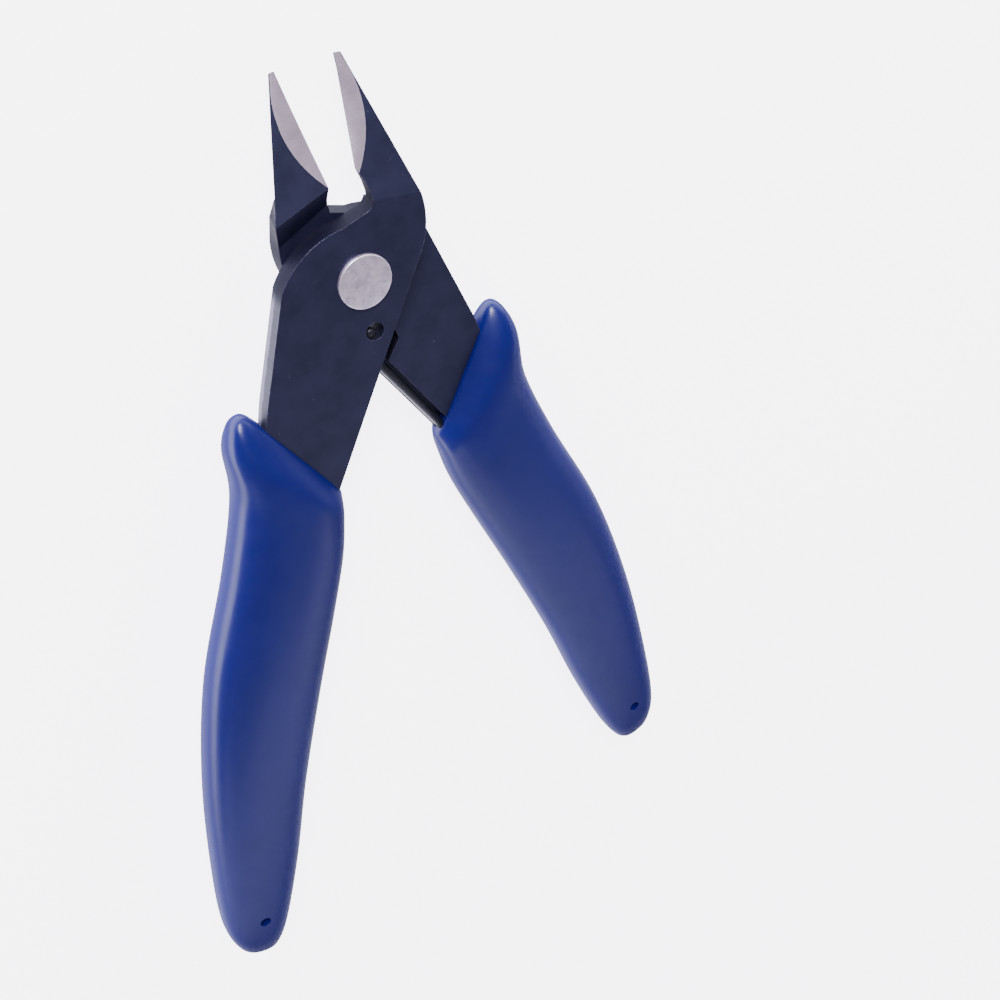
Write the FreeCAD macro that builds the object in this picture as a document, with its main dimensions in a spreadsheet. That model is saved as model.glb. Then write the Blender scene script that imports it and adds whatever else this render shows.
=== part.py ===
import FreeCAD, Part
import Sketcher
import math
import os

# Flush cutter: two stamped steel levers on one rivet, a wire return spring, and a plastic sleeve on each
# tang.
#
# Every lever is drawn closed, with the pivot on the Z axis, the jaws towards +Y and its own handle on +X.
# The front lever is the mirror image, one plate higher. The sheet's cells are millimetres and degrees.
# Last, each piece is turned to the open rest position and moved, so that the tool lies on the plane Z = 0.

DIMENSIONS = {
    # levers
    "plate_thickness": 2.5,
    "plate_gap": 0.1,
    "half_opening": 8.4,
    "pivot_forward": 38.013,
    "pivot_height": 6.395,
    # head of a lever
    "bend_forward": 9.3,
    "bend_angle": 20.5,
    "root_outer": 7.5,
    "raised_root_outer": 8.1,
    "jaw_undercut": 0.95,
    "tip_undercut": 0.42,
    "bulge_radius": 10.5,
    "neck_x": 7.1,
    "neck_y": 1.0,
    "shoulder_x": 10.2,
    "shoulder_y": 0.6,
    "shoulder_radius": 10.6,
    "throat_radius": 1.6,
    # jaws, measured along their own slope from the bend
    "jaw_length": 16.4,
    "jaw_tip_width": 0.75,
    "jaw_tip_thickness": 1.0,
    "edge_gap": 0.02,
    "bevel_width": 2.2,
    "tip_bevel_width": 0.22,
    # flush grinding of the jaws' front faces by a wide wheel
    "wheel_radius": 110.0,
    "wheel_tilt": 6.0,
    "wheel_centre": 10.1,
    "grind_depth": 0.24,
    # joggle that lifts the back lever's jaw level with the front one
    "raised_root": 3.3,
    "crest_depth": 2.8,
    # rivet and the two spring holes
    "shank_radius": 2.0,
    "running_clearance": 0.05,
    "rivet_head_radius": 3.4,
    "rivet_head_height": 0.65,
    "rivet_head_chamfer": 0.2,
    "rivet_head_crown": 0.15,
    "head_clearance": 0.03,
    "hook_hole_radius": 1.15,
    "hook_hole_x": 1.3,
    "hook_hole_y": 6.8,
    "window_radius": 2.2,
    "window_x": 0.3,
    # return spring and its channel
    "wire_radius": 0.6,
    "wire_bend": 1.2,
    "channel_width": 1.8,
    "channel_depth": 1.3,
    # sleeves
    "tail_hole_radius": 0.8,
    "tail_hole_x": 19.5,
    "tail_hole_y": 94.6,
    "grip_end_round": 1.2,
}

# The tang, from the head to the tail: the plate's edge nearer the other handle, then the outer edge
# back up.
TANG_INNER = [(5.5, -31.2), (8.6, -47.0), (12.6, -66.0), (15.7, -84.0), (17.4, -96.5)]
TANG_OUTER = [(19.8, -96.5), (21.8, -88.0), (21.6, -66.0), (18.6, -48.0), (15.2, -33.0), (12.8, -13.5)]

# The throat behind each jaw's cutting edge, from the edge's heel down, with the jaw on -X.
FRONT_NOTCH = [(0.0, 13.0), (-0.9, 11.4), (-1.4, 10.0), (-1.4, 9.3), (-0.1, 8.05)]
BACK_NOTCH = [(0.0, 12.2), (-0.3, 10.4), (-0.3, 8.35)]
HEAD_END = (2.3, 6.95)

# The back lever's joggle runs from its foot on the flat plate to a slanted crest, with the outer end and
# the inner end of each.
JOGGLE_FOOT = [(-7.35, 7.3), (-0.3, 9.4)]
JOGGLE_CREST = [(-7.4, 10.9), (-0.02, 12.0)]
JOGGLE_TOP = 12.5

# The sleeve's cross-sections: outer end, inner end, thickness. The first is the slanted mouth.
SLEEVE = [
    ((16.3, -12.6), (3.4, -28.0), 8.0),
    ((18.0, -18.0), (3.5, -31.5), 9.5),
    ((17.5, -25.5), (3.9, -37.0), 9.8),
    ((19.4, -36.5), (5.4, -45.0), 10.0),
    ((23.1, -52.0), (8.1, -58.0), 10.0),
    ((24.8, -68.0), (10.8, -72.5), 9.8),
    ((25.0, -84.0), (12.8, -86.5), 9.4),
    ((24.2, -97.1), (15.2, -98.6), 8.0),
    ((21.5, -103.7), (17.4, -104.25), 4.4),
]

document = FreeCAD.newDocument("flush_cutter")
sheet = document.addObject("Spreadsheet::Sheet", "dims")


def fill_sheet():
    cells = dict(DIMENSIONS)
    for number, (outer, inner, thickness) in enumerate(SLEEVE):
        cells[f"sleeve{number}_outer_x"], cells[f"sleeve{number}_outer_y"] = outer
        cells[f"sleeve{number}_inner_x"], cells[f"sleeve{number}_inner_y"] = inner
        cells[f"sleeve{number}_thickness"] = thickness
    for row, (alias, amount) in enumerate(cells.items(), start=1):
        sheet.set(f"A{row}", alias)
        sheet.set(f"B{row}", str(amount))
        sheet.setAlias(f"B{row}", alias)
    document.recompute()


def size(alias):
    return float(sheet.get(alias))


def plane(body, role):
    return next(item for item in body.Origin.OriginFeatures if item.Role == role)


def sketch_on(body, name, role, position=(0, 0, 0), rotation=None):
    """A sketch on one of the body's own origin planes, moved within that plane's frame."""
    sketch = body.newObject("Sketcher::SketchObject", name)
    sketch.AttachmentSupport = [(plane(body, role), "")]
    sketch.MapMode = "FlatFace"
    turn = rotation or FreeCAD.Rotation()
    sketch.AttachmentOffset = FreeCAD.Placement(FreeCAD.Vector(*position), turn)
    return sketch


def polygon(sketch, points, arcs=None):
    """A closed outline through the points.

    arcs maps a segment's number to its radius, negative for a hollow.
    """
    arcs = arcs or {}
    ends = [FreeCAD.Vector(x, y, 0) for x, y in points]
    for number, start in enumerate(ends):
        end = ends[(number + 1) % len(ends)]
        radius = arcs.get(number)
        if radius is None:
            sketch.addGeometry(Part.LineSegment(start, end), False)
            continue
        chord = end - start
        middle = (start + end) * 0.5
        across = FreeCAD.Vector(chord.y, -chord.x, 0).normalize()
        rise = abs(radius) - math.sqrt(radius ** 2 - (chord.Length / 2) ** 2)
        through = middle + across * math.copysign(rise, radius)
        sketch.addGeometry(Part.Arc(start, through, end), False)
    return sketch


def pin_distance(sketch, kind, geometry, position, alias, sign=1):
    """Hold one coordinate of a sketch point at a cell's value."""
    origin, root = -1, 1
    amount = sign * size(alias)
    index = sketch.addConstraint(Sketcher.Constraint(kind, origin, root, geometry, position, amount))
    sketch.setExpression(f"Constraints[{index}]", f"{sign} * dims.{alias}")


def circle(sketch, x_alias, x_sign, y_alias, y_sign, radius_expression, radius):
    """A circle whose centre and radius are held at cells' values. An alias of None is zero."""
    x = x_sign * size(x_alias) if x_alias else 0
    y = y_sign * size(y_alias) if y_alias else 0
    sketch.addGeometry(Part.Circle(FreeCAD.Vector(x, y, 0), FreeCAD.Vector(0, 0, 1), radius), False)
    centre = 3
    if x_alias:
        pin_distance(sketch, "DistanceX", 0, centre, x_alias, x_sign)
    if y_alias:
        pin_distance(sketch, "DistanceY", 0, centre, y_alias, y_sign)
    if not x_alias and not y_alias:
        sketch.addConstraint(Sketcher.Constraint("Coincident", 0, centre, -1, 1))
    index = sketch.addConstraint(Sketcher.Constraint("Radius", 0, radius))
    sketch.setExpression(f"Constraints[{index}]", radius_expression)


def pad(body, name, sketch, expression, reverse=False, centred=False):
    feature = body.newObject("PartDesign::Pad", name)
    feature.Profile = sketch
    feature.setExpression("Length", expression)
    feature.Reversed = reverse
    feature.Midplane = centred
    return feature


def pocket_through(body, name, sketch):
    feature = body.newObject("PartDesign::Pocket", name)
    feature.Profile = sketch
    feature.Type = "ThroughAll"
    feature.Midplane = True
    return feature


def pocket(body, name, sketch, expression):
    feature = body.newObject("PartDesign::Pocket", name)
    feature.Profile = sketch
    feature.setExpression("Length", expression)
    return feature


def edges_where(feature, test):
    """Names of the feature's edges that pass a test."""
    return [f"Edge{number}" for number, edge in enumerate(feature.Shape.Edges, start=1) if test(edge)]


def plate_outline(joggled):
    """The flat part of a lever with its handle on +X, and the radius of each curved segment."""
    neck = (size("neck_x") * -1, size("neck_y"))
    shoulder = (size("shoulder_x"), size("shoulder_y"))
    if joggled:
        head = [JOGGLE_FOOT[1], JOGGLE_FOOT[0]]
        throat = [HEAD_END, BACK_NOTCH[-1]]
    else:
        head = [FRONT_NOTCH[3], (-size("root_outer"), size("bend_forward"))]
        throat = [HEAD_END, FRONT_NOTCH[-1]]
    points = head + [neck] + TANG_INNER + TANG_OUTER + [shoulder] + throat
    arcs = {1: size("bulge_radius"), points.index(shoulder): size("shoulder_radius")}
    if not joggled:
        arcs[len(points) - 1] = -size("throat_radius")
    return points, arcs


def mirrored(points, arcs, side):
    """The outline as it is when side is 1, or its mirror image across X = 0 when side is -1."""
    return [(side * x, y) for x, y in points], {number: side * radius for number, radius in arcs.items()}


def bend():
    return math.radians(size("bend_angle"))


def outer_reach(y):
    """How far the raised jaw's straight outer edge lies from the centre line at y."""
    root = size("raised_root_outer")
    taper = (root - size("jaw_tip_width")) / (size("jaw_length") * math.cos(bend()))
    return root + taper * (size("bend_forward") - y)


def jaw_plane(y):
    """Height of the jaws' sloping front face at y."""
    return size("plate_gap") / 2 + size("plate_thickness") - (y - size("bend_forward")) * math.tan(bend())


def add_joggle(body):
    """The ramp of the back lever from its flat plate up to the root of its raised jaw."""
    flat = -size("plate_gap") / 2
    thick, deep = size("plate_thickness"), size("crest_depth")
    outer, inner = JOGGLE_CREST
    last = [(-outer_reach(JOGGLE_TOP), JOGGLE_TOP), (inner[0], JOGGLE_TOP)]
    sections = []
    under = size("jaw_undercut")
    for name, ends, tops, depth, undercut in (
        ("joggle_foot", JOGGLE_FOOT, (flat, flat), thick, 0.0),
        ("joggle_crest", JOGGLE_CREST, (jaw_plane(outer[1]), jaw_plane(inner[1])), deep, under * 0.6),
        ("joggle_top", last, (jaw_plane(JOGGLE_TOP), jaw_plane(JOGGLE_TOP)), thick - 0.2, under),
    ):
        start, end = (FreeCAD.Vector(x, y, 0) for x, y in ends)
        along = (end - start).normalize()
        stand = FreeCAD.Rotation(along, FreeCAD.Vector(0, 0, 1),
                                 along.cross(FreeCAD.Vector(0, 0, 1)), "XYZ")
        section = sketch_on(body, f"{name}_section", "XY_Plane", tuple(start), stand)
        reach = (end - start).Length
        bottom = (tops[1] - depth, tops[0] - depth)
        polygon(section, [(0, tops[0]), (reach, tops[1]), (reach, bottom[0]), (undercut, bottom[1])])
        sections.append(section)
    loft = body.newObject("PartDesign::AdditiveLoft", "joggle")
    loft.Profile = sections[0]
    loft.Sections = sections[1:]
    loft.Ruled = True


def add_jaw(body, side, notch_points, notch_arcs, root, root_outer):
    """The tapered jaw, which slopes back from the bend line: cutting edge on top, bevel beneath it."""
    top = size("plate_gap") / 2 + size("plate_thickness")
    start = FreeCAD.Vector(0, size("bend_forward"), top)
    along = FreeCAD.Vector(0, math.cos(bend()), -math.sin(bend()))
    sections = []
    for number, reach in enumerate((root, size("jaw_length"))):
        share = reach / size("jaw_length")
        place = start + along * reach
        width = root_outer + share * (size("jaw_tip_width") - root_outer)
        thickness = size("plate_thickness") + share * (size("jaw_tip_thickness") - size("plate_thickness"))
        bevel = size("bevel_width") + share * (size("tip_bevel_width") - size("bevel_width"))
        tilt = FreeCAD.Rotation(FreeCAD.Vector(1, 0, 0), -size("bend_angle"))
        name = f"jaw_section_{number}"
        section = sketch_on(body, name, "XZ_Plane", (0, place.z, -place.y), tilt)
        edge = size("edge_gap")
        undercut = size("jaw_undercut") + share * (size("tip_undercut") - size("jaw_undercut"))
        corners = [
            (edge, 0), (width, 0), (width - undercut, -thickness),
            (edge + bevel, -thickness), (edge, -size("grind_depth")),
        ]
        polygon(section, [(-side * x, z) for x, z in corners])
        sections.append(section)
    loft = body.newObject("PartDesign::AdditiveLoft", "jaw")
    loft.Profile = sections[0]
    loft.Sections = sections[1:]
    loft.Ruled = True

    # the throat behind the cutting edge's heel
    bottom = notch_points[-1][1]
    closing = [(4.0, bottom), (4.0, notch_points[0][1])]
    notch = sketch_on(body, "throat_outline", "XY_Plane")
    polygon(notch, *mirrored(notch_points + closing, notch_arcs, side))
    pocket_through(body, "throat", notch)

    # the hollow that the grinding wheel leaves on the flush face, deepest along the cutting edge
    wheel = size("wheel_radius")
    tilt = FreeCAD.Rotation(FreeCAD.Vector(0, 0, 1), -size("bend_angle"))
    lean = FreeCAD.Rotation(FreeCAD.Vector(1, 0, 0), side * size("wheel_tilt"))
    middle = start + along * size("wheel_centre")
    ground = sketch_on(body, "wheel_outline", "YZ_Plane", (middle.y, middle.z, 0), tilt * lean)
    circle_centre = FreeCAD.Vector(0, wheel - size("grind_depth"), 0)
    ground.addGeometry(Part.Circle(circle_centre, FreeCAD.Vector(0, 0, 1), wheel), False)
    pocket_through(body, "flush_grinding", ground)


def build_lever(name, side):
    """One stamped lever. side is 1 for the back one and -1 for the front one."""
    body = document.addObject("PartDesign::Body", name)
    body.Label = name
    gap, thick = size("plate_gap"), size("plate_thickness")
    joggled = side > 0
    base = -gap / 2 - thick if joggled else gap / 2

    outline = sketch_on(body, "plate_outline", "XY_Plane", (0, 0, base))
    polygon(outline, *mirrored(*plate_outline(joggled), side))
    pad(body, "plate", outline, "dims.plate_thickness")

    if joggled:
        add_joggle(body)
        add_jaw(body, side, BACK_NOTCH, {}, size("raised_root"), size("raised_root_outer"))
    else:
        add_jaw(body, side, FRONT_NOTCH, {3: size("throat_radius")}, 0.0, size("root_outer"))

    bore = sketch_on(body, "rivet_bore_outline", "XY_Plane")
    clearance = "0" if joggled else "dims.running_clearance"
    radius = size("shank_radius") + (0 if joggled else size("running_clearance"))
    circle(bore, None, 1, None, 1, f"dims.shank_radius + {clearance}", radius)
    pocket_through(body, "rivet_bore", bore)

    if joggled:
        window = sketch_on(body, "spring_window_outline", "XY_Plane")
        circle(window, "window_x", 1, "hook_hole_y", -1, "dims.window_radius", size("window_radius"))
        pocket_through(body, "spring_window", window)
        channel = sketch_on(body, "spring_channel_outline", "XY_Plane", (0, 0, -gap / 2))
        polygon(channel, channel_outline())
        pocket(body, "spring_channel", channel, "dims.channel_depth")
    else:
        hook = sketch_on(body, "hook_hole_outline", "XY_Plane")
        circle(hook, "hook_hole_x", 1, "hook_hole_y", -1, "dims.hook_hole_radius", size("hook_hole_radius"))
        pocket_through(body, "hook_hole", hook)
    return body


def inner_edge(y, inset=0.0):
    """A point of the back lever's straight inner edge, moved into the plate by inset."""
    start = FreeCAD.Vector(-size("neck_x"), size("neck_y"), 0)
    end = FreeCAD.Vector(*TANG_INNER[0], 0)
    direction = (end - start).normalize()
    into = FreeCAD.Vector(-direction.y, direction.x, 0)
    point = start + direction * ((y - start.y) / direction.y) + into * inset
    return point.x, point.y


def channel_outline():
    """The channel in the back lever's front face: wide at the window, then along the inner edge."""
    wide = size("channel_width")
    left = size("window_x") - size("window_radius")
    right = size("window_x") + size("window_radius") - 0.2
    return [
        (left, -size("hook_hole_y")), (left, -11.6), inner_edge(-12.6, -1.0), inner_edge(-34.0, -1.0),
        inner_edge(-34.0, wide), inner_edge(-14.1, wide), (2.7, -11.3), (right, -size("hook_hole_y")),
    ]


def build_rivet():
    """A shank with a flat, slightly crowned head at each end."""
    body = document.addObject("PartDesign::Body", "pivot_rivet")
    body.Label = "pivot_rivet"
    shank, head = size("shank_radius"), size("rivet_head_radius")
    rim = size("rivet_head_chamfer")
    under_front = size("plate_gap") / 2 + size("plate_thickness") + size("head_clearance")
    under_back = -size("plate_gap") / 2 - size("plate_thickness")
    high = size("rivet_head_height")
    crown = size("rivet_head_crown")
    crown_radius = ((head - rim) ** 2 + crown ** 2) / (2 * crown)
    side = high - crown - rim
    profile = sketch_on(body, "rivet_profile", "XZ_Plane")
    polygon(profile, [
        (0, under_back - high), (head - rim, under_back - high + crown), (head, under_back - side),
        (head, under_back), (shank, under_back), (shank, under_front), (head, under_front),
        (head, under_front + side), (head - rim, under_front + high - crown), (0, under_front + high),
    ], {0: crown_radius, 8: crown_radius})
    turned = body.newObject("PartDesign::Revolution", "turned")
    turned.Profile = profile
    turned.ReferenceAxis = (profile, ["V_Axis"])
    turned.Angle = 360
    return body


def wire_path():
    """The spring's path in the back lever's closed frame: pin, knee, and both ends of its second leg."""
    level = -size("plate_gap") / 2 - size("channel_depth") / 2
    inset = 0.75
    pin = FreeCAD.Vector(-1.2, -7.1, level)
    knee = FreeCAD.Vector(*inner_edge(-13.6, inset), level)
    tail = FreeCAD.Vector(*inner_edge(-33.4, inset), level)
    return pin, knee, tail


def build_spring():
    """Bent music wire: a pin that stands up through the hook hole, and a leg in the channel."""
    body = document.addObject("PartDesign::Body", "return_spring")
    body.Label = "return_spring"
    pin, knee, tail = wire_path()
    first = (knee - pin).normalize()
    second = (tail - knee).normalize()
    half_turn = first.getAngle(second) / 2
    tangent = 8.0 * math.tan(half_turn)
    leave, join = knee - first * tangent, knee + second * tangent
    top = size("plate_gap") / 2 + size("plate_thickness") - 0.25

    # the pin and the first leg, in the upright plane through both
    upright = FreeCAD.Rotation(first, FreeCAD.Vector(0, 0, 1), first.cross(FreeCAD.Vector(0, 0, 1)), "XYZ")
    spine = sketch_on(body, "pin_path", "XY_Plane", tuple(pin), upright)
    turn = size("wire_bend")
    drop = FreeCAD.Vector(0, top - pin.z, 0)
    spine.addGeometry(Part.LineSegment(drop, FreeCAD.Vector(0, turn, 0)), False)
    corner = turn * (1 - math.sqrt(0.5))
    spine.addGeometry(Part.Arc(
        FreeCAD.Vector(0, turn, 0), FreeCAD.Vector(corner, corner, 0), FreeCAD.Vector(turn, 0, 0)), False)
    reach = (leave - pin).Length
    spine.addGeometry(Part.LineSegment(FreeCAD.Vector(turn, 0, 0), FreeCAD.Vector(reach, 0, 0)), False)
    section = sketch_on(body, "pin_section", "XY_Plane", (pin.x, pin.y, top))
    circle(section, None, 1, None, 1, "dims.wire_radius", size("wire_radius"))
    pin_pipe = body.newObject("PartDesign::AdditivePipe", "pin_pipe")
    pin_pipe.Profile = section
    pin_pipe.Spine = spine

    # the knee and the second leg, level with the first
    path = sketch_on(body, "leg_path", "XY_Plane", (0, 0, pin.z))
    bow = knee + (leave + join - knee * 2) * 0.25
    flat = [FreeCAD.Vector(point.x, point.y, 0) for point in (leave, bow, join, tail)]
    path.addGeometry(Part.Arc(flat[0], flat[1], flat[2]), False)
    path.addGeometry(Part.LineSegment(flat[2], flat[3]), False)
    across = FreeCAD.Rotation(first.cross(FreeCAD.Vector(0, 0, 1)), FreeCAD.Vector(0, 0, 1),
                              first * -1, "XYZ")
    start = sketch_on(body, "leg_section", "XY_Plane", tuple(leave), across)
    circle(start, None, 1, None, 1, "dims.wire_radius", size("wire_radius"))
    leg_pipe = body.newObject("PartDesign::AdditivePipe", "leg_pipe")
    leg_pipe.Profile = start
    leg_pipe.Spine = path
    return body


def build_grip(name):
    """A plastic sleeve moulded round the front lever's tang, lofted through oval cross-sections.

    Both sleeves are the same moulding. The back lever's one is turned over when it is set down.
    """
    side = -1
    body = document.addObject("PartDesign::Body", name)
    body.Label = name
    gap, thick = size("plate_gap"), size("plate_thickness")
    base = gap / 2
    sections = []
    for number in range(len(SLEEVE)):
        key = f"sleeve{number}"
        outer = FreeCAD.Vector(side * size(f"{key}_outer_x"), size(f"{key}_outer_y"), base + thick / 2)
        inner = FreeCAD.Vector(side * size(f"{key}_inner_x"), size(f"{key}_inner_y"), base + thick / 2)
        across = (outer - inner).normalize()
        turn = FreeCAD.Rotation(across, FreeCAD.Vector(0, 0, 1),
                                across.cross(FreeCAD.Vector(0, 0, 1)), "XYZ")
        section = sketch_on(body, f"section_{number}", "XY_Plane", tuple((outer + inner) * 0.5), turn)
        oval(section, (outer - inner).Length, size(f"{key}_thickness"))
        sections.append(section)
    loft = body.newObject("PartDesign::AdditiveLoft", "sleeve")
    loft.Profile = sections[0]
    loft.Sections = sections[1:]

    document.recompute()
    tail = body.newObject("PartDesign::Fillet", "rounded_ends")
    rims = edges_where(loft, lambda edge: is_rim(edge, side))
    tail.Base = (loft, rims)
    tail.setExpression("Radius", "dims.grip_end_round")

    slot = sketch_on(body, "tang_slot_outline", "XY_Plane", (0, 0, base))
    polygon(slot, *mirrored(*plate_outline(False), side))
    cavity = body.newObject("PartDesign::Pocket", "tang_slot")
    cavity.Profile = slot
    cavity.Reversed = True
    cavity.setExpression("Length", "dims.plate_thickness")

    hole = sketch_on(body, "tail_hole_outline", "XY_Plane")
    circle(hole, "tail_hole_x", side, "tail_hole_y", -1, "dims.tail_hole_radius", size("tail_hole_radius"))
    pocket_through(body, "tail_hole", hole)
    return body


def oval(sketch, width, thickness):
    """Four arcs: two blunt ends and two gently crowned faces, meeting at an inner rectangle's corners."""
    half, high = width / 2, thickness / 2
    inset, drop = high * 0.42, high * 0.16
    corners = [
        FreeCAD.Vector(half - inset, high - drop, 0), FreeCAD.Vector(-half + inset, high - drop, 0),
        FreeCAD.Vector(-half + inset, -high + drop, 0), FreeCAD.Vector(half - inset, -high + drop, 0),
    ]
    middles = [
        FreeCAD.Vector(0, high, 0), FreeCAD.Vector(-half, 0, 0),
        FreeCAD.Vector(0, -high, 0), FreeCAD.Vector(half, 0, 0),
    ]
    for number in range(4):
        end = corners[(number + 1) % 4]
        sketch.addGeometry(Part.Arc(corners[number], middles[number], end), False)


def is_rim(edge, side):
    """Whether an edge runs round the sleeve's mouth or its tail end."""
    ends = []
    for number in (0, len(SLEEVE) - 1):
        outer, inner = SLEEVE[number][0], SLEEVE[number][1]
        ends.append((FreeCAD.Vector(side * outer[0], outer[1], 0),
                     FreeCAD.Vector(side * inner[0], inner[1], 0)))
    points = edge.discretize(5)
    for outer, inner in ends:
        normal = FreeCAD.Vector(0, 0, 1).cross(outer - inner).normalize()
        if all(abs((point - inner).dot(normal)) < 0.01 for point in points):
            return True
    return False


def set_down(body, angle, turned_over=False):
    """Turn a piece from the closed drawing position to its open rest position, and lift it to Z = 0."""
    turn = FreeCAD.Rotation(FreeCAD.Vector(0, 0, 1), angle)
    if turned_over:
        turn = turn * FreeCAD.Rotation(FreeCAD.Vector(0, 1, 0), 180)
    body.Placement = FreeCAD.Placement(
        FreeCAD.Vector(0, size("pivot_forward"), size("pivot_height")), turn)
    body.setExpression("Placement.Base.y", "dims.pivot_forward")
    body.setExpression("Placement.Base.z", "dims.pivot_height")


fill_sheet()
opening = size("half_opening")
pieces = [
    (build_lever("front_lever", -1), -opening),
    (build_lever("back_lever", 1), opening),
    (build_rivet(), opening),
    (build_spring(), opening),
    (build_grip("left_grip"), -opening),
    (build_grip("right_grip"), opening),
]
for piece, angle in pieces:
    set_down(piece, angle, turned_over=piece.Label == "right_grip")
document.recompute()

for item in document.Objects:
    if "Invalid" in item.State or "Error" in item.State:
        raise RuntimeError(f"{item.Label}: {item.State}")
os.makedirs("parts", exist_ok=True)
for piece, angle in pieces:
    shape = piece.Shape
    if shape.isNull() or not shape.isValid() or len(shape.Solids) != 1:
        raise RuntimeError(f"{piece.Label} isn't one valid solid")
    shape.exportStep(f"parts/{piece.Label}.step")
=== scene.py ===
import math

import bmesh
import bpy
from mathutils import Matrix, Quaternion, Vector


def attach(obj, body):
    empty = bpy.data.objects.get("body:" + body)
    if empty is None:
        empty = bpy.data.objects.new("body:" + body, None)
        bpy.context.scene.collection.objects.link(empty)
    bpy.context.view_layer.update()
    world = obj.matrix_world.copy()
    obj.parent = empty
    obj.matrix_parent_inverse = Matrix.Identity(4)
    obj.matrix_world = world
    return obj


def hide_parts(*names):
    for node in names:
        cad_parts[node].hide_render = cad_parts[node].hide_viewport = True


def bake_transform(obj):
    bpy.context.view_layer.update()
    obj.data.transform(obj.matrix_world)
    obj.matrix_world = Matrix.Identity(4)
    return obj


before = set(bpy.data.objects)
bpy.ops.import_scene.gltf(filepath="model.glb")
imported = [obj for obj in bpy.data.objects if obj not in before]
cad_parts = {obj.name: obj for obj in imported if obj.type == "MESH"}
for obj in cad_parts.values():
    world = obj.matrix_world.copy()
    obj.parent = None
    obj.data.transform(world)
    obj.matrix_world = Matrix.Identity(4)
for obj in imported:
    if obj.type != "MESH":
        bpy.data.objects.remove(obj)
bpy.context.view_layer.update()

# Shapes are drawn in millimetres with both levers closed, the pivot at the origin and the jaws
# towards +Y, then turned to the open rest position about the pivot. Places in materials, lamps
# and the camera are in metres, in the frame's own axes.
MM = 0.001
PIVOT = Vector((0.0, 0.038013, 0.006395))
HALF_OPENING = math.radians(8.4)
PLATE_GAP = 0.1  # between the two levers' plates
PLATE = 2.5  # thickness of each lever's plate
PLATE_TOP = PLATE_GAP / 2 + PLATE


def rest_place(turn):
    """From closed drawing millimetres to the row frame, for a piece turned by this many radians."""
    return Matrix.Translation(PIVOT) @ Matrix.Rotation(turn, 4, "Z") @ Matrix.Scale(MM, 4)


BACK_PLACE = rest_place(HALF_OPENING)
FRONT_PLACE = rest_place(-HALF_OPENING)


# ---------------------------------------------------------------- materials

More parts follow.
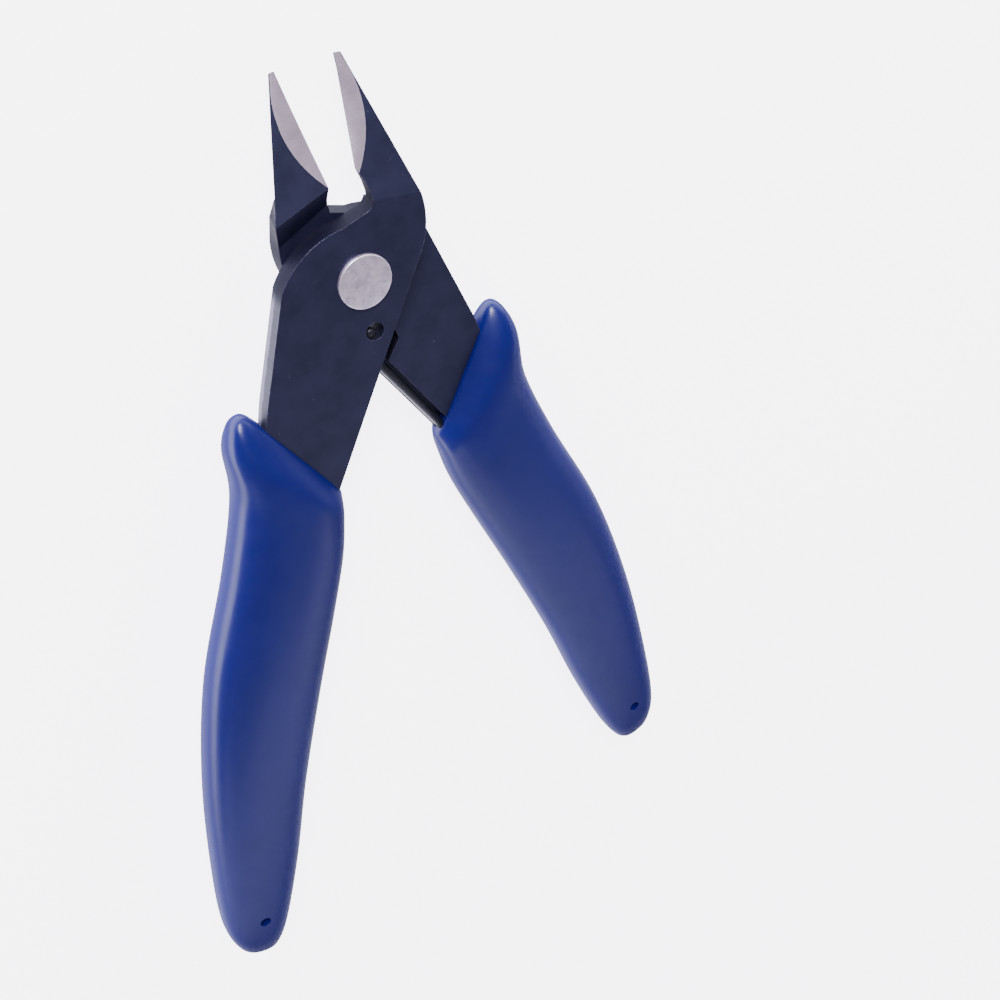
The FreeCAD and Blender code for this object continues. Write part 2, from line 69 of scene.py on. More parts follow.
class Shader:
    """A small helper that makes and links nodes of one material."""

    def __init__(self, name, **sockets):
        self.material = bpy.data.materials.new(name)
        self.material.use_nodes = True
        self.tree = self.material.node_tree
        self.surface = self.tree.nodes["Principled BSDF"]
        for socket, amount in sockets.items():
            self.surface.inputs[socket.replace("_", " ")].default_value = amount
        self.place = self.make("ShaderNodeTexCoord")

    def make(self, kind, settings=None, **sockets):
        node = self.tree.nodes.new(kind)
        for name, amount in (settings or {}).items():
            setattr(node, name, amount)
        for name, amount in sockets.items():
            self.feed(node, name.replace("_", " "), amount)
        return node

    def feed(self, node, socket, amount):
        """Link an output into a socket, or set a plain amount there. "#2" is the third socket."""
        target = node.inputs[int(socket[1:])] if socket[0] == "#" else node.inputs[socket]
        if isinstance(amount, bpy.types.NodeSocket):
            self.tree.links.new(amount, target)
        else:
            target.default_value = amount

    def maths(self, operation, first, second=0.0, third=0.0, clamp=False):
        node = self.make("ShaderNodeMath", {"operation": operation, "use_clamp": clamp})
        for number, amount in enumerate((first, second, third)):
            self.feed(node, f"#{number}", amount)
        return node.outputs[0]

    def noise(self, scale, detail=3.0, roughness=0.5, vector=None, distortion=0.0):
        node = self.make("ShaderNodeTexNoise", Scale=scale, Detail=detail, Roughness=roughness,
                         Distortion=distortion)
        self.feed(node, "Vector", vector or self.place.outputs["Object"])
        return node.outputs["Fac"]

    def stretched(self, scale, turn=0.0):
        """The place on the piece, stretched and turned about Z, for noise that runs in lines."""
        node = self.make("ShaderNodeMapping", Scale=scale, Rotation=(0.0, 0.0, turn))
        self.feed(node, "Vector", self.place.outputs["Object"])
        return node.outputs["Vector"]

    def ramp(self, amount, stops):
        node = self.make("ShaderNodeValToRGB")
        ramp = node.color_ramp
        while len(ramp.elements) < len(stops):
            ramp.elements.new(0.5)
        for element, (position, colour) in zip(ramp.elements, stops):
            element.position = position
            element.color = colour if len(colour) == 4 else (*colour, 1.0)
        self.feed(node, "Fac", amount)
        return node.outputs["Color"]

    def steps(self, amount, low, high):
        """A smooth step from 0 at low to 1 at high. Low may be the larger one."""
        node = self.make("ShaderNodeMapRange", {"interpolation_type": "SMOOTHSTEP"})
        for name, value in (("Value", amount), ("From Min", low), ("From Max", high)):
            self.feed(node, name, value)
        return node.outputs["Result"]

    def mix(self, share, first, second):
        node = self.make("ShaderNodeMix", {"data_type": "RGBA"})
        self.feed(node, "#0", share)
        for socket, amount in (("#6", first), ("#7", second)):
            self.feed(node, socket, amount)
        return node.outputs[2]

    def between(self, share, first, second):
        node = self.make("ShaderNodeMix", {"data_type": "FLOAT"})
        for socket, amount in (("#0", share), ("#2", first), ("#3", second)):
            self.feed(node, socket, amount)
        return node.outputs[0]

    def bump(self, height, depth, strength=1.0, under=None):
        node = self.make("ShaderNodeBump", Height=height, Distance=depth, Strength=strength)
        if under is not None:
            self.feed(node, "Normal", under)
        return node.outputs["Normal"]

    def edge_wear_and_highlight(self, radius):
        """1 on sharp edges and 0 on flat ground, where the bevelled and true normals agree."""
        soft = self.make("ShaderNodeBevel", {"samples": 6}, Radius=radius)
        true = self.make("ShaderNodeNewGeometry")
        dot = self.make("ShaderNodeVectorMath", {"operation": "DOT_PRODUCT"})
        self.feed(dot, "#0", soft.outputs["Normal"])
        self.feed(dot, "#1", true.outputs["Normal"])
        return self.maths("SUBTRACT", 1.0, dot.outputs["Value"], clamp=True)

    def finish(self, **sockets):
        for socket, amount in sockets.items():
            self.feed(self.surface, socket.replace("_", " "), amount)
        return self.material


HOOK_HOLE = (0.0003, 0.0311)  # the centre of the front lever's hook hole


def blackened_steel():
    """Satin black oxide. The shank's sheared walls are paler than the faces; the head's walls and
    the hook hole's are darker, with painted shade.
    """
    s = Shader("blackened_steel", Metallic=0.55, IOR=1.6)
    s.feed(s.surface, "Specular Tint", (0.78, 0.80, 1.0, 1.0))
    cloud = s.noise(260.0, 4.0, 0.6)
    fine = s.noise(2600.0, 3.0, 0.6)
    grain = s.noise(1.0, 2.0, 0.5, vector=s.stretched((900.0, 9000.0, 2500.0), 0.5))
    base = s.ramp(cloud, [(0.25, (0.0142, 0.0145, 0.0390)), (0.75, (0.0222, 0.0225, 0.0590))])

    # upright is 1 on walls, and shank is 1 behind the pivot, apart from the hook hole
    normal = s.make("ShaderNodeSeparateXYZ")
    s.feed(normal, "Vector", s.place.outputs["Normal"])
    spot = s.make("ShaderNodeSeparateXYZ")
    s.feed(spot, "Vector", s.place.outputs["Object"])
    upright = s.steps(s.maths("ABSOLUTE", normal.outputs["Z"]), 0.55, 0.25)
    off_x = s.maths("SUBTRACT", spot.outputs["X"], HOOK_HOLE[0])
    off_y = s.maths("SUBTRACT", spot.outputs["Y"], HOOK_HOLE[1])
    from_hole = s.maths("SQRT", s.maths("ADD", s.maths("MULTIPLY", off_x, off_x),
                                        s.maths("MULTIPLY", off_y, off_y)))
    behind_pivot = s.steps(spot.outputs["Y"], 0.0400, 0.0380)
    shank = s.maths("MULTIPLY", behind_pivot, s.steps(from_hole, 0.0024, 0.0028))
    head_wall = s.maths("MULTIPLY", upright, s.maths("SUBTRACT", 1.0, shank))

    # the sheared walls, with a ragged burnished band low on the front lever's
    streak = s.noise(1.0, 3.0, 0.6, vector=s.stretched((2600.0, 2600.0, 160.0)))
    wall = s.ramp(streak, [(0.3, (0.008, 0.008, 0.016)), (0.7, (0.022, 0.021, 0.036))])
    ragged = s.maths("MULTIPLY_ADD", s.noise(700.0, 4.0, 0.7), 0.0010, spot.outputs["Z"])
    burnish = s.maths("MULTIPLY", s.steps(ragged, 0.0081, 0.0076),
                      s.steps(spot.outputs["Z"], 0.0063, 0.0065))
    wall = s.mix(burnish, wall, (0.14, 0.13, 0.18, 1.0))
    wall_share = s.maths("MULTIPLY", upright, s.maths("MULTIPLY_ADD", shank, 0.75, 0.08))
    base = s.mix(wall_share, base, wall)

    # a few pale specks, and pale edges, partly rubbed wear and partly a painted highlight along the
    # plates' edges
    specks = s.steps(s.noise(1500.0, 1.0, 0.5, distortion=1.5), 0.76, 0.82)
    base = s.mix(s.maths("MULTIPLY", specks, 0.5), base, (0.10, 0.10, 0.14, 1.0))
    edge_patches = s.noise(1500.0, 4.0, 0.7)
    edge = s.maths("MULTIPLY", s.steps(s.edge_wear_and_highlight(0.00022), 0.03, 0.15), s.steps(edge_patches, 0.36, 0.60))
    base = s.mix(s.maths("MULTIPLY", edge, 0.45), base, (0.16, 0.155, 0.21, 1.0))

    # the walls are rougher and reflect less than the faces, those of the head least of all; the
    # head's walls and the hook hole's walls are also darkened nearly to black, a painted shade
    base = s.mix(s.maths("MULTIPLY", head_wall, 0.8), base, (0.003, 0.003, 0.007, 1.0))
    rough = s.maths("ADD", s.between(cloud, 0.30, 0.46), s.maths("MULTIPLY", upright, 0.08))
    rough = s.maths("ADD", rough, s.maths("MULTIPLY", head_wall, 0.16))
    wall_gloss = s.maths("MULTIPLY_ADD", shank, 0.07, 0.03)
    height = s.maths("ADD", s.maths("MULTIPLY", fine, 0.6), s.maths("MULTIPLY", grain, 0.4))
    return s.finish(Base_Color=base, Roughness=rough,
                    Metallic=s.between(upright, 0.55, s.maths("MULTIPLY", shank, 0.12)),
                    Specular_IOR_Level=s.between(upright, 0.5, wall_gloss),
                    Normal=s.bump(height, 0.000006, 0.7))


def ground_steel():
    """Bright steel with fine grinding lines, on the hollow-ground faces of the jaws."""
    s = Shader("ground_steel", Metallic=0.9)
    lines = s.noise(1.0, 3.0, 0.7, vector=s.stretched((700.0, 16000.0, 4000.0), 0.25))
    cloud = s.noise(420.0, 2.0, 0.5)
    tone = s.maths("ADD", s.maths("MULTIPLY", lines, 0.45), s.maths("MULTIPLY", cloud, 0.55))
    base = s.ramp(tone, [(0.3, (0.45, 0.37, 0.47)), (0.7, (0.70, 0.585, 0.72))])
    return s.finish(Base_Color=base, Roughness=s.between(lines, 0.30, 0.46),
                    Normal=s.bump(lines, 0.000004, 0.6))


def rivet_steel():
    """Plain steel, mottled and scuffed in two directions."""
    s = Shader("rivet_steel", Metallic=0.85)
    mottle = s.noise(900.0, 5.0, 0.65, distortion=0.6)
    scuffs = s.noise(1.0, 2.0, 0.6, vector=s.stretched((1200.0, 14000.0, 3000.0), 0.9))
    cross = s.noise(1.0, 2.0, 0.6, vector=s.stretched((11000.0, 900.0, 3000.0), 0.3))
    lines = s.maths("MAXIMUM", s.steps(scuffs, 0.60, 0.72), s.steps(cross, 0.62, 0.74))
    base = s.ramp(mottle, [(0.30, (0.50, 0.42, 0.53)), (0.55, (0.82, 0.71, 0.86)),
                           (0.75, (0.94, 0.84, 0.98))])
    base = s.mix(s.maths("MULTIPLY", lines, 0.35), base, (0.80, 0.77, 0.84, 1.0))
    height = s.maths("SUBTRACT", mottle, s.maths("MULTIPLY", lines, 0.5))
    return s.finish(Base_Color=base, Roughness=s.between(mottle, 0.42, 0.27),
                    Normal=s.bump(height, 0.000018, 0.8))


def spring_wire():
    """Dark drawn wire."""
    s = Shader("spring_wire", Metallic=0.8)
    drawn = s.noise(3500.0, 3.0, 0.6)
    base = s.ramp(drawn, [(0.3, (0.018, 0.018, 0.026)), (0.7, (0.040, 0.040, 0.052))])
    return s.finish(Base_Color=base, Roughness=s.between(drawn, 0.38, 0.52),
                    Normal=s.bump(drawn, 0.000004, 0.5))


def blue_vinyl():
    """Satin royal-blue vinyl, whose gloss gets softer and weaker where the surface turns away."""
    s = Shader("blue_vinyl", IOR=1.48)
    s.feed(s.surface, "Subsurface Weight", 0.08)
    s.feed(s.surface, "Subsurface Radius", (0.0004, 0.0006, 0.0016))
    s.feed(s.surface, "Subsurface Scale", 1.0)
    s.feed(s.surface, "Specular Tint", (0.74, 0.79, 1.0, 1.0))
    s.feed(s.surface, "Coat Roughness", 0.16)
    swirl = s.noise(70.0, 3.0, 0.5, distortion=0.8)
    base = s.ramp(swirl, [(0.3, (0.0016, 0.0025, 0.088)), (0.7, (0.0022, 0.0033, 0.100))])

    facing = s.make("ShaderNodeLayerWeight", Blend=0.35).outputs["Facing"]
    turned_away = s.steps(facing, 0.24, 0.44)
    handled = s.steps(s.noise(320.0, 4.0, 0.6), 0.35, 0.7)
    rough = s.between(s.steps(facing, 0.18, 0.40), s.between(handled, 0.30, 0.38), 0.68)

    waves = s.bump(s.noise(190.0, 2.0, 0.4), 0.00002, 0.5)
    grain = s.noise(5200.0, 2.0, 0.5)
    return s.finish(Base_Color=base, Roughness=rough,
                    Coat_Weight=s.between(turned_away, 0.14, 0.0),
                    Specular_IOR_Level=s.between(turned_away, 0.42, 0.16),
                    Normal=s.bump(grain, 0.0000012, 0.4, waves))


BLACK = blackened_steel()
GROUND = ground_steel()
RIVET = rivet_steel()
WIRE = spring_wire()
VINYL = blue_vinyl()


# ---------------------------------------------------------------- pieces

def add(name, mesh, body, node, slot, *materials):
    """Link a mesh that rides a body, stands for one CAD node and takes the given materials; the
    slot is not used.
    """
    piece = bpy.data.objects.new(name, mesh)
    bpy.context.scene.collection.objects.link(piece)
    for material in materials:
        mesh.materials.append(material)
    if body:
        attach(piece, body)
    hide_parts(node)
    return piece


def settled(mesh, modifiers, name):
    """The mesh after these modifiers, as plain geometry."""
    holder = bpy.data.objects.new(name, mesh)
    bpy.context.scene.collection.objects.link(holder)
    for kind, settings in modifiers:
        modifier = holder.modifiers.new(kind.title(), kind)
        for key, amount in settings.items():
            setattr(modifier, key, amount)
    result = holder.evaluated_get(bpy.context.evaluated_depsgraph_get())
    done = bpy.data.meshes.new_from_object(result)
    bpy.data.objects.remove(holder)
    return done


def shade(mesh, angle):
    """Smooth shading, apart from edges with more than this angle in degrees between their faces."""
    mesh.shade_smooth()
    mesh.set_sharp_from_angle(angle=math.radians(angle))


def mesh_of(bm, name):
    """The finished mesh of these faces, all turned outwards."""
    bmesh.ops.recalc_face_normals(bm, faces=bm.faces)
    mesh = bpy.data.meshes.new(name)
    bm.to_mesh(mesh)
    bm.free()
    return mesh


def around_circle(count):
    """The cosine and sine at each of so many even steps round a circle."""
    turns = (2 * math.pi * step / count for step in range(count))
    return [(math.cos(turn), math.sin(turn)) for turn in turns]


def skin(bm, rings):
    """Faces between rings with as many points each, and over the first and the last ring."""
    for first, second in zip(rings, rings[1:]):
        for step in range(len(first)):
            nearby = (step + 1) % len(first)
            bm.faces.new((first[step], first[nearby], second[nearby], second[step]))
    bm.faces.new(reversed(rings[0]))
    bm.faces.new(rings[-1])


# ---------------------------------------------------------------- levers

BEND = math.radians(20.5)  # of the jaws, towards the reverse side, on the line y = BEND_Y
BEND_Y = 9.3
FOLDS = (5.5, 12.3)  # the joggle and the bend have their folds between these
JAW_Y = 11.0  # the jaws are slim beyond this
FOLD_ROUND = 0.7 * MM
SHEARED_EDGE, JAW_EDGE = 0.24, 0.10  # how far these are rounded, as a share of FOLD_ROUND
FOLD_LENGTH, FOLD_ALONG_X = 3.0, 0.88  # least length of a fold's edge, and its least share along X
CUTTING_X, CUTTING_Y = 0.12, 11.5  # the cutting edge lies this close to X = 0, beyond this Y

# angles between an edge's two faces: the least that is rounded, the least of a sheared edge and
# the largest of a fold
LEAST_ANGLE, SHEARED_ANGLE, FOLD_ANGLE = math.radians(9), math.radians(28), math.radians(70)

GROUND_LEVEL = 0.97  # least cosine between a ground face and the plane of the jaw's front
GROUND_DEPTH = 0.004  # least depth of a ground face under that plane


def edge_softness(first, second, angle):
    """The share of FOLD_ROUND for an edge, from its ends in the drawing and its faces' angle."""
    ends = (first, second)
    along_x = abs(first.x - second.x) > FOLD_ALONG_X * (first - second).length > FOLD_LENGTH
    on_fold = all(FOLDS[0] < point.y < FOLDS[1] for point in ends)
    cutting = all(abs(point.x) < CUTTING_X and point.y > CUTTING_Y for point in ends)
    if cutting or angle < LEAST_ANGLE:
        return 0.0
    if on_fold and along_x and angle < FOLD_ANGLE:
        return 1.0
    if angle > SHEARED_ANGLE:
        return JAW_EDGE if min(first.y, second.y) > JAW_Y else SHEARED_EDGE
    return 0.0


def lever_mesh(node, place):
    """The CAD lever with softened folds and edges, and its ground faces marked as material 1."""
    to_drawing = place.inverted()
    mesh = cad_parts[node].data.copy()
    mesh.materials.clear()
    bm = bmesh.new()
    bm.from_mesh(mesh)
    bmesh.ops.remove_doubles(bm, verts=bm.verts, dist=2e-6)
    bmesh.ops.dissolve_limit(bm, angle_limit=math.radians(0.4), verts=bm.verts, edges=bm.edges)
    weights = bm.edges.layers.float.new("bevel_weight_edge")
    for edge in bm.edges:
        first, second = (to_drawing @ vertex.co for vertex in edge.verts)
        angle = edge.calc_face_angle(0.0) if len(edge.link_faces) == 2 else 0.0
        edge[weights] = edge_softness(first, second, angle)
    bm.to_mesh(mesh)
    bm.free()
    mesh = settled(mesh, [
        ("BEVEL", {"width": FOLD_ROUND, "segments": 4, "limit_method": "WEIGHT",
                   "use_clamp_overlap": True, "harden_normals": False,
                   "miter_outer": "MITER_ARC"}),
    ], f"{node}_work")
    shade(mesh, 40)
    mark_ground(mesh, to_drawing)
    return mesh


def mark_ground(mesh, to_drawing):
    """Give material 1 to the hollow-ground part of the jaw's front face, just under its plane."""
    normal = Vector((0.0, math.sin(BEND), math.cos(BEND)))
    on_face = Vector((0.0, BEND_Y, PLATE_TOP))
    for face in mesh.polygons:
        centre = to_drawing @ face.center
        direction = (to_drawing.to_3x3() @ face.normal).normalized()
        under = (on_face - centre).dot(normal)
        level = direction.dot(normal)
        if centre.y > JAW_Y and level > GROUND_LEVEL and under > GROUND_DEPTH:
            face.material_index = 1


front = add("front_lever_steel", lever_mesh("front_lever", FRONT_PLACE), "front_half",
            "front_lever", "blackened_steel", BLACK, GROUND)
back = add("back_lever_steel", lever_mesh("back_lever", BACK_PLACE), "back_half",
           "back_lever", "blackened_steel", BLACK, GROUND)
for lever in (front, back):
    flatten = lever.modifiers.new("Flat faces", "WEIGHTED_NORMAL")
    flatten.keep_sharp = True
    flatten.weight = 100


# ---------------------------------------------------------------- grips

# outer end, inner end and thickness of the sleeve, from its slanted mouth to its tail
SLEEVE = [
    ((16.3, -12.6), (3.4, -28.0), 8.0),
    ((18.0, -18.0), (3.5, -31.5), 9.5),
    ((17.5, -25.5), (3.9, -37.0), 9.8),
    ((19.4, -36.5), (5.4, -45.0), 10.0),
    ((23.1, -52.0), (8.1, -58.0), 10.0),
    ((24.8, -68.0), (10.8, -72.5), 9.8),
    ((25.0, -84.0), (12.8, -86.5), 9.4),
    ((24.2, -97.1), (15.2, -98.6), 8.0),
    ((21.5, -103.7), (17.4, -104.25), 4.4),
]
FULLNESS = 0.93  # the rings' thickness, as a share of the table's
SQUARENESS = 2.6  # exponent of the rings' superellipse: 2 is an ellipse
CROWDING = 0.72  # how far the rings crowd towards the mouth and the tail

# lengths of four stretches, as shares of the sleeve's length
LIP, LOBE, SLOPE, TAIL = 0.015, 0.065, 0.125, 0.055
LIP_SIZE = 0.95  # size of the mouth's first ring beside the full ring
LOBE_CUT = 0.13  # share of the mouth's width that the rounding of its outer corner takes
MOUTH_RISE = 0.43  # thickness of the mouth beside the full thickness
SLOPE_POWER = 0.85  # below 1 the slope rises faster near the mouth
TAIL_SIZE = 0.02  # size of the last ring beside the full ring

TAIL_HOLE = (19.5, -94.6)
TAIL_HOLE_RADIUS = 0.8
PIN_HALF_LENGTH = 8.0  # of the pin that cuts the tail hole, well past the sleeve's faces


def smooth_row(values, share):
    """A smooth curve through evenly spaced values, at a share from 0 to 1 of the way along."""
    last = len(values) - 1
    spot = min(share * last, last - 1e-9)
    number = int(spot)
    t = spot - number
    p1, p2 = values[number], values[number + 1]
    p0 = values[number - 1] if number else 2 * p1 - p2
    p3 = values[number + 2] if number + 2 <= last else 2 * p2 - p1
    return 0.5 * (2 * p1 + (p2 - p0) * t + (2 * p0 - 5 * p1 + 4 * p2 - p3) * t * t
                  + (3 * p1 - p0 - 3 * p2 + p3) * t ** 3)


def sleeve_station(share):
    """The outer end, inner end and thickness of the sleeve, at a share of its length."""
    rows = list(zip(*[(*outer, *inner, thickness) for outer, inner, thickness in SLEEVE]))
    outer_x, outer_y, inner_x, inner_y, thickness = (smooth_row(row, share) for row in rows)
    return Vector((outer_x, outer_y, 0.0)), Vector((inner_x, inner_y, 0.0)), thickness


def quarter_round(share):
    """A quarter circle's height, from 0 at share 0 to 1 at share 1."""
    return math.sqrt(max(0.0, 1 - (1 - share) ** 2))


def sleeve_mesh(name, side, centre_z, place, around=72, stations=120):
    """A vinyl sleeve: oval rings along the handle, a sloping rounded mouth and a rounded tail."""
    bm = bmesh.new()
    rings = []
    for number in range(stations + 1):
        share = number / stations
        share -= CROWDING * math.sin(2 * math.pi * share) / (2 * math.pi)
        outer, inner, thickness = sleeve_station(share)
        ring_size = rise = 1.0
        if share < LIP:
            ring_size = LIP_SIZE + (1 - LIP_SIZE) * quarter_round(share / LIP)
        if share < LOBE:
            outer = outer.lerp(inner, LOBE_CUT * (1 - quarter_round(share / LOBE)))
        if share < SLOPE:
            climb = math.sin(math.pi / 2 * (share / SLOPE) ** SLOPE_POWER)
            rise = MOUTH_RISE + (1 - MOUTH_RISE) * climb
        if share > 1 - TAIL:
            ring_size = TAIL_SIZE + (1 - TAIL_SIZE) * quarter_round((1 - share) / TAIL)
        middle = (outer + inner) / 2
        half_width = (outer - inner) / 2 * ring_size
        half_thickness = thickness / 2 * FULLNESS * rise * ring_size
        ring = []
        for c, s in around_circle(around):
            spot = middle + half_width * math.copysign(abs(c) ** (2 / SQUARENESS), c)
            height = half_thickness * math.copysign(abs(s) ** (2 / SQUARENESS), s)
            ring.append(bm.verts.new(place @ Vector((side * spot.x, spot.y, centre_z + height))))
        rings.append(ring)
    skin(bm, rings)
    return mesh_of(bm, name)


def pin_mesh(name, centre, radius, half_length, place, around=32):
    """A plain pin along Z, for cutting the tail hole."""
    bm = bmesh.new()
    bmesh.ops.create_cone(bm, cap_ends=True, segments=around, radius1=radius, radius2=radius,
                          depth=2 * half_length, matrix=Matrix.Translation(centre))
    bmesh.ops.transform(bm, matrix=place, verts=bm.verts)
    return mesh_of(bm, name)


def build_grip(node, side, body, place):
    """A sleeve about its lever's middle plane, with a small hole through its tail."""
    centre_z = -side * (PLATE_GAP + PLATE) / 2
    mesh = sleeve_mesh(f"{node}_vinyl", side, centre_z, place)
    hole_centre = Vector((side * TAIL_HOLE[0], TAIL_HOLE[1], centre_z))
    cutter = pin_mesh(f"{node}_pin", hole_centre, TAIL_HOLE_RADIUS, PIN_HALF_LENGTH, place)
    pin = bpy.data.objects.new(f"{node}_pin", cutter)
    bpy.context.scene.collection.objects.link(pin)
    mesh = settled(mesh, [("BOOLEAN", {"operation": "DIFFERENCE", "object": pin,
                                       "solver": "EXACT"})], f"{node}_work")
    bpy.data.objects.remove(pin)
    shade(mesh, 38)
    add(f"{node}_vinyl", mesh, body, node, "blue_vinyl", VINYL)


build_grip("left_grip", -1, "front_half", FRONT_PLACE)
build_grip("right_grip", 1, "back_half", BACK_PLACE)


# ---------------------------------------------------------------- rivet

SHANK_RADIUS = 2.0
HEAD_RADIUS = 3.4
RIM_HEIGHT = 0.5  # from the plate to the top of the head's rim
RIM_ROUND = 0.22
CROWN_HEIGHT = 0.65
HEAD_GAP = 0.03  # the front lever runs under the front head


def head_profile(under, way):
    """From the rim's underside over the rounded rim to the crown. way is 1 up and -1 down."""
    flat = HEAD_RADIUS - RIM_ROUND
    points = [(HEAD_RADIUS, under)]
    for step in range(7):
        turn = math.pi / 2 * step / 6
        points.append((flat + RIM_ROUND * math.cos(turn),
                       under + way * (RIM_HEIGHT + RIM_ROUND * (math.sin(turn) - 1))))
    for step in range(1, 9):
        radius = flat * (1 - step / 8)
        dome = CROWN_HEIGHT - (CROWN_HEIGHT - RIM_HEIGHT) * (radius / flat) ** 2
        points.append((radius, under + way * dome))
    return points


def revolved(name, profile, place, around=96):
    """A solid of revolution about the pivot, from (radius, height) points. Radius 0 is a pole."""
    bm = bmesh.new()
    rings = []
    for radius, height in profile:
        spots = around_circle(around) if radius else [(0, 0)]
        rings.append([bm.verts.new(place @ Vector((radius * c, radius * s, height)))
                      for c, s in spots])
    for first, second in zip(rings, rings[1:]):
        for step in range(around):
            nearby = (step + 1) % around
            corners = [first[step % len(first)], first[nearby % len(first)],
                       second[nearby % len(second)], second[step % len(second)]]
            bm.faces.new(list(dict.fromkeys(corners)))
    return mesh_of(bm, name)


front_head = head_profile(PLATE_TOP + HEAD_GAP, 1)
back_head = head_profile(-PLATE_TOP, -1)
shank_sides = [(SHANK_RADIUS, -PLATE_TOP), (SHANK_RADIUS, PLATE_TOP + HEAD_GAP)]
rivet = revolved("pivot_rivet_steel", list(reversed(back_head)) + shank_sides + front_head,
                 BACK_PLACE)
shade(rivet, 50)
add("pivot_rivet_steel", rivet, "back_half", "pivot_rivet", "bright_steel", RIVET)


# ---------------------------------------------------------------- spring

WIRE_RADIUS = 0.6
WIRE_INSET = 0.75  # the wire's centre line lies this far inside the back lever's inner edge
WIRE_Z = -PLATE_GAP / 2 - 0.65
INNER_EDGE = (Vector((-7.1, 1.0)), Vector((5.5, -31.2)))  # of the back lever's tang
HOOK = Vector((-1.2, -7.1, WIRE_Z))
HOOK_TOP = PLATE_TOP - 0.25  # the hook stops just under the front lever's face
HOOK_RADIUS, KNEE_RADIUS = 1.2, 8.0
KNEE_Y, WIRE_END_Y = -13.6, -33.4
ARC_STEPS = 10
LEG_STEPS = 12
CHAMFER, CHAMFER_SIZE = 0.15, 0.75  # at the wire's ends: its length, and the end ring's size


def beside_edge(y):
    """The wire's centre beside the back lever's inner edge, in the closed drawing."""
    start, end = INNER_EDGE
    direction = (end - start).normalized()
    inwards = Vector((-direction.y, direction.x))
    spot = start + direction * ((y - start.y) / direction.y) + inwards * WIRE_INSET
    return Vector((*spot, WIRE_Z))


def rounded_path(corners, radii, steps):
    """A path through corners with an arc of the given radius at each inner corner."""
    points = [corners[0]]
    for before, corner, after, radius in zip(corners, corners[1:], corners[2:], radii):
        one, two = (before - corner).normalized(), (after - corner).normalized()
        half = one.angle(two) / 2
        reach = radius / math.tan(half)
        centre = corner + (one + two).normalized() * (radius / math.sin(half))
        start = corner + one * reach - centre
        end = corner + two * reach - centre
        sweep = start.angle(end)
        for step in range(steps + 1):
            t = step / steps
            arm = start * math.sin((1 - t) * sweep) + end * math.sin(t * sweep)
            points.append(centre + arm / math.sin(sweep))
    points.append(corners[-1])
    return points


def tube_mesh(name, path, radius, place, around=20):
    """A round wire along a path, with slightly chamfered ends."""
    bm = bmesh.new()
    ways = [(b - a).normalized() for a, b in zip(path, path[1:])]
    ways = [ways[0]] + [(a + b).normalized() for a, b in zip(ways, ways[1:])] + [ways[-1]]
    stations = [(path[0], ways[0], CHAMFER_SIZE), (path[0] + ways[0] * CHAMFER, ways[0], 1.0)]
    stations += [(point, way, 1.0) for point, way in zip(path[1:-1], ways[1:-1])]
    stations += [(path[-1] - ways[-1] * CHAMFER, ways[-1], 1.0), (path[-1], ways[-1], CHAMFER_SIZE)]
    rings = []
    side = ways[0].orthogonal().normalized()
    for point, way, share in stations:
        side = (side - way * side.dot(way)).normalized()
        other = way.cross(side)
        rings.append([bm.verts.new(place @ (point + (side * c + other * s) * radius * share))
                      for c, s in around_circle(around)])
    skin(bm, rings)
    return mesh_of(bm, name)


knee = beside_edge(KNEE_Y)
wire_corners = [Vector((HOOK.x, HOOK.y, HOOK_TOP)), HOOK, knee, beside_edge(WIRE_END_Y)]
wire_path = rounded_path(wire_corners, (HOOK_RADIUS, KNEE_RADIUS), ARC_STEPS)
leg_start = ARC_STEPS + 2  # the points before this one are the hook's top and its arc
wire_path[leg_start:leg_start] = [
    wire_path[leg_start - 1].lerp(wire_path[leg_start], step / LEG_STEPS)
    for step in range(1, LEG_STEPS)]
spring_mesh = tube_mesh("return_spring_wire", wire_path, WIRE_RADIUS, BACK_PLACE)
shade(spring_mesh, 50)
spring = add("return_spring_wire", spring_mesh, None, "return_spring", "spring_wire", WIRE)
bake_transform(spring)


# ---------------------------------------------------------------- stage

PALE = (0.93, 0.92, 1.0, 1.0)
FLOOR_REACH = 3.0


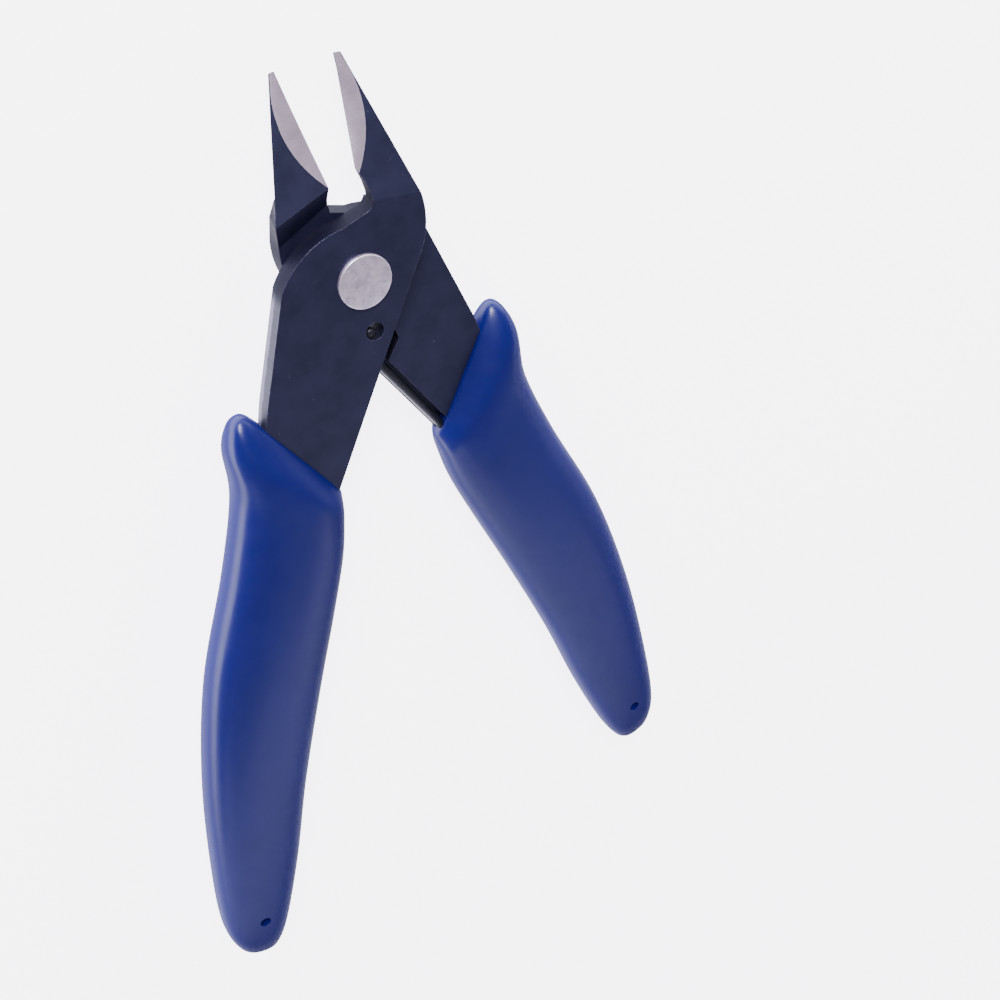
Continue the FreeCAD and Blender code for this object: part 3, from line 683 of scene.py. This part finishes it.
def floor_material():
    """A plain pale cloth that glows a little, so that it stays even and nearly white."""
    s = Shader("floor_cloth", Roughness=0.85)
    weave = s.noise(900.0, 3.0, 0.6)
    base = s.ramp(s.noise(14.0, 2.0, 0.5), [(0.3, (0.86, 0.85, 0.92)), (0.7, (0.90, 0.89, 0.95))])
    s.feed(s.surface, "Emission Color", PALE)
    s.feed(s.surface, "Emission Strength", 5.4)
    return s.finish(Base_Color=base, Normal=s.bump(weave, 0.00008, 0.5))


floor_mesh = bpy.data.meshes.new("floor")
floor_mesh.from_pydata([(FLOOR_REACH * x, FLOOR_REACH * y, 0.0)
                        for x, y in ((-1, -1), (1, -1), (1, 1), (-1, 1))], [], [(0, 1, 2, 3)])
floor = bpy.data.objects.new("floor", floor_mesh)
bpy.context.scene.collection.objects.link(floor)
floor_mesh.materials.append(floor_material())

world = bpy.data.worlds.new("sky")
world.use_nodes = True
world.node_tree.nodes["Background"].inputs["Color"].default_value = PALE
world.node_tree.nodes["Background"].inputs["Strength"].default_value = 0.42
bpy.context.scene.world = world


def lamp(name, place, target, across, power, colour):
    """A rectangular area light at a place, facing the target."""
    data = bpy.data.lights.new(name, "AREA")
    data.shape = "RECTANGLE"
    data.size, data.size_y = across
    data.energy = power
    data.color = colour
    holder = bpy.data.objects.new(name, data)
    holder.location = place
    way = Vector(target) - Vector(place)
    holder.rotation_euler = way.to_track_quat("-Z", "Y").to_euler()
    bpy.context.scene.collection.objects.link(holder)


lamp("window", (-0.15, 0.60, 0.42), (0, 0, 0), (0.28, 0.28), 10.0, (1.0, 0.98, 1.0))
lamp("fill", (0.50, 0.55, 0.22), (0, 0, 0), (0.7, 0.4), 3.0, (0.93, 0.93, 1.0))
lamp("far_wall", (-0.05, -0.80, 0.40), (0, 0, 0.02), (1.6, 0.66), 4.9, (0.84, 0.84, 1.0))

camera_data = bpy.data.cameras.new("camera")
camera_data.sensor_width = 36.0
camera_data.lens = 54.436
camera = bpy.data.objects.new("camera", camera_data)
camera.rotation_mode = "QUATERNION"
camera.location = (-0.058865, 0.12385, 0.149813)
camera.rotation_quaternion = Quaternion((0.911601, -0.303786, -0.242313, -0.134096))
bpy.context.scene.collection.objects.link(camera)
bpy.context.scene.camera = camera
